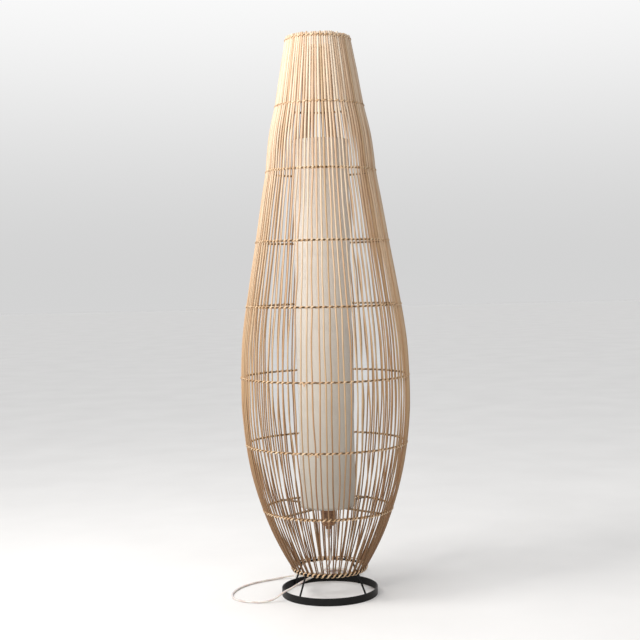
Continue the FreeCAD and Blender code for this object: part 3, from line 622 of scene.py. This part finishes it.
def plain_weave():
    """Off-white cloth of slightly uneven threads about 0.6 mm apart, with painted shade that darkens it
    towards its lower end.
    """
    material, tree, shader = new_finish("off_white_cloth", 0.85)
    weave = tree.nodes.new("ShaderNodeMath")
    weave.operation = "MULTIPLY"
    tree.links.new(threads(tree, "X", 1600), weave.inputs[0])
    tree.links.new(threads(tree, "Y", 1600), weave.inputs[1])
    upright, level = [
        ramp(tree, noise(tree, 1.0, stretch, 3.0, "UV"), (0.3, 0.78, 0.76, 0.72), (0.7, 1, 1, 1))
        for stretch in ((1500, 30, 1), (30, 1500, 1))
    ]
    slubs = mixed(tree, 0.5, upright, level, "MULTIPLY")
    cloth = ramp(tree, weave.outputs[0], (0.0, 0.84, 0.80, 0.745), (0.6, 0.94, 0.905, 0.855))
    woven = mixed(tree, 0.4, cloth, slubs, "MULTIPLY")
    # Painted shade: the cloth is darkened towards its lower end, standing in for the light that falls off
    # there.
    painted_shade_low = ramp(tree, share_of_height(tree),
                 (0.17, 0.66, 0.65, 0.62), (0.45, 0.84, 0.83, 0.81), (0.8, 1.0, 1.0, 1.0))
    tree.links.new(mixed(tree, 1.0, woven, painted_shade_low, "MULTIPLY"), shader.inputs["Base Color"])
    shader.inputs["Sheen Weight"].default_value = 0.15
    raised(tree, shader, weave.outputs[0], 0.00012)
    return material


sleeve = bpy.data.objects.new("fabric_sleeve", sleeve_mesh())
bpy.context.scene.collection.objects.link(sleeve)
sleeve.data.materials.append(plain_weave())
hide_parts("diffuser_sleeve")
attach(sleeve, "diffuser")

white_wire, tree, shader = new_finish("white_coated_wire", 0.4)
coat = noise(tree, 160)
tree.links.new(ramp(tree, coat, (0.3, 0.74, 0.73, 0.70), (0.7, 0.86, 0.85, 0.83)),
               shader.inputs["Base Color"])
rough_between(tree, shader, coat, 0.3, 0.5)
give(white_wire, "diffuser_bottom_ring", "diffuser_top_ring")

# ---------------------------------------------------------------- cord, grip, switch and plug
# Two metres of round clear flex with pale twisted cores. It hangs from the lampholder's grip, rests on the
# foot ring and runs round the back to its switch; what is left is coiled beside the flat two-pin plug.

CORD = 0.0055
FLOOR_LINE = 0.0028           # height of the cord's middle where it lies on the floor
TWIST = 0.040                 # length of one twist of the cores
COIL_CENTRE = (0.020, 0.195)
COIL_RADII = [0.0368, 0.0304, 0.0241, 0.0241, 0.0304, 0.0368]
COIL_LEVELS = [0.0030, 0.0030, 0.0030, 0.0096, 0.0096, 0.0096]
COIL_START = math.radians(-112)
COIL_TURNS = 6.13
COIL_STEP = 0.3               # last share of a turn, in which it passes to the next one
TURN_POINTS = 16
grip_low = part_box("cord_grip")[0]

lead_route = [
    (0, 0, grip_low.z + 0.003), (0, 0, 0.129), (0.004, -0.001, 0.107), (0.003, -0.003, 0.087),
    (-0.007, -0.007, 0.070), (-0.027, -0.017, 0.0585), (-0.054, -0.031, 0.0505), (-0.082, -0.0465, 0.041),
    (-0.103, -0.059, 0.031), (-0.121, -0.0685, 0.0255), (-0.138, -0.0765, 0.0145), (-0.157, -0.083, 0.0055),
    (-0.181, -0.086, FLOOR_LINE), (-0.210, -0.083, FLOOR_LINE), (-0.238, -0.070, FLOOR_LINE),
    (-0.258, -0.045, FLOOR_LINE), (-0.267, -0.012, FLOOR_LINE), (-0.264, 0.022, FLOOR_LINE),
    (-0.254, 0.055, FLOOR_LINE), (-0.2375, 0.0855, FLOOR_LINE), (-0.215, 0.1115, FLOOR_LINE),
    (-0.1885, 0.1325, FLOOR_LINE), (-0.1635, 0.1475, FLOOR_LINE), (-0.1395, 0.158, 0.004),
    (-0.1195, 0.1635, 0.0068), (-0.102, 0.165, 0.0075), (-0.071, 0.165, 0.0075), (-0.040, 0.165, 0.0075),
    (-0.028, 0.1645, 0.0066), (-0.017, 0.1635, 0.0052), (-0.005, 0.162, 0.0038),
]
tail_route = [(0.0400, 0.1635, 0.0092), (0.0500, 0.1672, 0.0078), (0.0635, 0.1705, 0.0062),
              (0.0765, 0.1780, 0.0062), (0.0855, 0.1910, 0.0070), (0.0880, 0.2060, 0.0075),
              (0.0880, 0.2160, 0.0075)]


def coil_route():
    """Six turns, three wide and two high, wound inwards on the floor and out again on top."""
    points, count, last = [], round(COIL_TURNS * TURN_POINTS), len(COIL_RADII) - 1
    for i in range(count + 1):
        turns = COIL_TURNS * i / count
        k = min(int(turns), last)
        share = max(0.0, (turns - k - (1 - COIL_STEP)) / COIL_STEP) if k < last else 0.0
        share = share * share * (3 - 2 * share)
        ahead = min(k + 1, last)
        radius = COIL_RADII[k] + (COIL_RADII[ahead] - COIL_RADII[k]) * share
        level = COIL_LEVELS[k] + (COIL_LEVELS[ahead] - COIL_LEVELS[k]) * share
        angle = COIL_START + 2 * math.pi * turns
        points.append((COIL_CENTRE[0] + radius * math.cos(angle),
                       COIL_CENTRE[1] + radius * math.sin(angle), level))
    return points


def spline_line(points):
    """The smooth line of a NURBS spline with these control points."""
    curve = bpy.data.curves.new("cord_line", "CURVE")
    curve.dimensions = "3D"
    spline = curve.splines.new("NURBS")
    spline.points.add(len(points) - 1)
    for seat, point in zip(spline.points, points):
        seat.co = (*point, 1)
    spline.order_u = 3
    spline.use_endpoint_u = True
    spline.resolution_u = 6
    holder = bpy.data.objects.new("cord_line", curve)
    line_mesh = bpy.data.meshes.new_from_object(holder)
    line = [vertex.co.copy() for vertex in line_mesh.vertices]
    bpy.data.objects.remove(holder)
    return line


def clear_flex():
    """Clear sheath over two pale cores that twist once in about 40 mm."""
    material, tree, shader = new_finish("clear_flex", 0.22)
    spot, wave = tree.nodes.new("ShaderNodeTexCoord"), tree.nodes.new("ShaderNodeTexWave")
    mapping = tree.nodes.new("ShaderNodeMapping")
    mapping.inputs["Scale"].default_value = (1 / (math.pi * CORD), 1 / TWIST, 1)
    wave.bands_direction = "DIAGONAL"
    wave.inputs["Scale"].default_value = math.pi / 10 * 2
    tree.links.new(spot.outputs["UV"], mapping.inputs["Vector"])
    tree.links.new(mapping.outputs["Vector"], wave.inputs["Vector"])
    cores = ramp(tree, wave.outputs["Fac"],
                 (0.0, 0.66, 0.57, 0.53), (0.3, 0.73, 0.66, 0.62), (1.0, 0.80, 0.76, 0.72))
    cloudy = ramp(tree, noise(tree, 120), (0.3, 0.9, 0.88, 0.86), (0.7, 1, 1, 1))
    tree.links.new(mixed(tree, 0.6, cores, cloudy, "MULTIPLY"), shader.inputs["Base Color"])
    shader.inputs["Coat Weight"].default_value = 0.8
    shader.inputs["Coat Roughness"].default_value = 0.12
    shader.inputs["Subsurface Weight"].default_value = 0.15
    shader.inputs["Subsurface Scale"].default_value = 0.002
    return material


HANGING = 40                  # steps of the route in which the cord hangs; after them it lies down
FLEX_SIDES = 14
route = spline_line(lead_route + coil_route() + tail_route)
count = len(route)
outward = [Vector((0.02, 0.03, 1)) if i > HANGING else Vector((0.3, -1, 0)) for i in range(count)]
flex_run = {"line": route, "outward": outward, "size": [(CORD, CORD)] * count, "tone": [0.5] * count,
            "closed": False}
flex = swept("clear_flex", [flex_run], FLEX_SIDES)
flex.data.materials.append(clear_flex())
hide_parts("cord_lead", "cord_switch_lead", "cord_coil", "cord_tail")
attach(flex, "lamp")

white_plastic, tree, shader = new_finish("white_moulded_plastic", 0.45)
soil = noise(tree, 35)
tree.links.new(ramp(tree, soil, (0.3, 0.74, 0.73, 0.70), (0.7, 0.82, 0.81, 0.78)),
               shader.inputs["Base Color"])
rough_between(tree, shader, soil, 0.38, 0.52)
raised(tree, shader, noise(tree, 2500, detail=2.0), 0.00003)
give(white_plastic, "switch_base", "switch_cover", "plug_body")

gloss_white, tree, shader = new_finish("gloss_white_rocker", 0.2)
tree.links.new(ramp(tree, noise(tree, 120), (0.3, 0.80, 0.80, 0.78), (0.7, 0.88, 0.88, 0.86)),
               shader.inputs["Base Color"])
give(gloss_white, "switch_rocker")

clear_nylon, tree, shader = new_finish("clear_nylon", 0.35)
tree.links.new(ramp(tree, noise(tree, 200), (0.3, 0.66, 0.65, 0.61), (0.7, 0.78, 0.77, 0.74)),
               shader.inputs["Base Color"])
shader.inputs["Subsurface Weight"].default_value = 0.3
shader.inputs["Subsurface Scale"].default_value = 0.003
give(clear_nylon, "cord_grip")

nickel, tree, shader = new_finish("nickel_plate", 0.22, 1.0)
rubbed = noise(tree, 300, (1, 8, 1))
tree.links.new(ramp(tree, rubbed, (0.3, 0.66, 0.64, 0.59), (0.7, 0.80, 0.78, 0.73)),
               shader.inputs["Base Color"])
rough_between(tree, shader, rubbed, 0.16, 0.34)
give(nickel, "plug_pins")

zinc, tree, shader = new_finish("zinc_screw", 0.4, 1.0)
dulled = noise(tree, 500)
tree.links.new(ramp(tree, dulled, (0.3, 0.5, 0.51, 0.53), (0.7, 0.68, 0.69, 0.7)),
               shader.inputs["Base Color"])
rough_between(tree, shader, dulled, 0.32, 0.55)
give(zinc, "switch_screws")

# ---------------------------------------------------------------- floor, light and camera
# A pale floor under plain studio light: a small soft lamp in front and a large one at the upper left, and a
# pale surround that is dimmer to the right.

FLOOR_HALF = 30
corners = [(-FLOOR_HALF, -FLOOR_HALF, 0), (FLOOR_HALF, -FLOOR_HALF, 0),
           (FLOOR_HALF, FLOOR_HALF, 0), (-FLOOR_HALF, FLOOR_HALF, 0)]
floor_mesh = bpy.data.meshes.new("floor")
floor_mesh.from_pydata(corners, [], [(0, 1, 2, 3)])
floor = bpy.data.objects.new("floor", floor_mesh)
bpy.context.scene.collection.objects.link(floor)
pale_floor, tree, shader = new_finish("pale_floor", 0.8)
tree.links.new(ramp(tree, noise(tree, 3), (0.3, 0.82, 0.82, 0.82), (0.7, 0.86, 0.86, 0.86)),
               shader.inputs["Base Color"])
floor.data.materials.append(pale_floor)


def lamp_towards(name, place, target, width, height, watts, colour):
    """A rectangular soft lamp, turned to face a point."""
    light = bpy.data.lights.new(name, "AREA")
    light.shape, light.size, light.size_y = "RECTANGLE", width, height
    light.energy, light.color = watts, colour
    holder = bpy.data.objects.new(name, light)
    holder.location = place
    holder.rotation_euler = (Vector(target) - Vector(place)).to_track_quat("-Z", "Y").to_euler()
    bpy.context.scene.collection.objects.link(holder)


lamp_towards("main_light", (-0.75, -1.95, 1.55), (0, 0, 0.85), 0.35, 0.30, 12, (1.0, 0.97, 0.93))
lamp_towards("upper_left_fill", (-1.7, -0.9, 2.5), (0, 0, 1.35), 1.0, 1.0, 52, (1.0, 0.97, 0.94))

# The surround lights the lamp from behind and overhead, and less from the right and the front. What is seen
# of it is one pale backdrop on every side.
world = bpy.data.worlds.new("pale_surround")
world.use_nodes = True
tree = world.node_tree
split = tree.nodes.new("ShaderNodeSeparateXYZ")
tree.links.new(tree.nodes.new("ShaderNodeTexCoord").outputs["Generated"], split.inputs["Vector"])


def towards(axis, low, high):
    """How far a direction leans along an axis, 0 at low and 1 at high."""
    spread = tree.nodes.new("ShaderNodeMapRange")
    spread.interpolation_type = "SMOOTHSTEP"
    spread.inputs["From Min"].default_value = low
    spread.inputs["From Max"].default_value = high
    tree.links.new(split.outputs[axis], spread.inputs["Value"])
    return spread.outputs["Result"]


around = ramp(tree, towards("X", -1, 1), (0.0, 0.72, 0.70, 0.68), (1.0, 0.12, 0.115, 0.11))
backdrop = ramp(tree, towards("Z", 0.0, 0.3), (0.0, 0.655, 0.655, 0.655), (1.0, 1.0, 1.0, 1.0))
level_light = mixed(tree, towards("Y", 0.2, 0.9), around, backdrop)
surround = mixed(tree, towards("Z", 0.35, 0.9), level_light, (0.9, 0.9, 0.9))
directly_seen = tree.nodes.new("ShaderNodeLightPath").outputs["Is Camera Ray"]
tree.links.new(mixed(tree, directly_seen, surround, backdrop), tree.nodes["Background"].inputs["Color"])
bpy.context.scene.world = world
bpy.context.scene.view_settings.view_transform = "Standard"

CAMERA_ACROSS, CAMERA_HEIGHT, CAMERA_AWAY = -0.008, 0.86, 3.18
CAMERA_DOWN, CAMERA_ROLL = 2.1, 1.3   # degrees
camera_data = bpy.data.cameras.new("camera")
camera_data.lens = 66.4
camera = bpy.data.objects.new("camera", camera_data)
camera.location = (CAMERA_ACROSS, -CAMERA_AWAY, CAMERA_HEIGHT)
camera.rotation_mode = "XYZ"
camera.rotation_euler = (math.radians(90 - CAMERA_DOWN), math.radians(CAMERA_ROLL), 0)
bpy.context.scene.collection.objects.link(camera)
bpy.context.scene.camera = camera
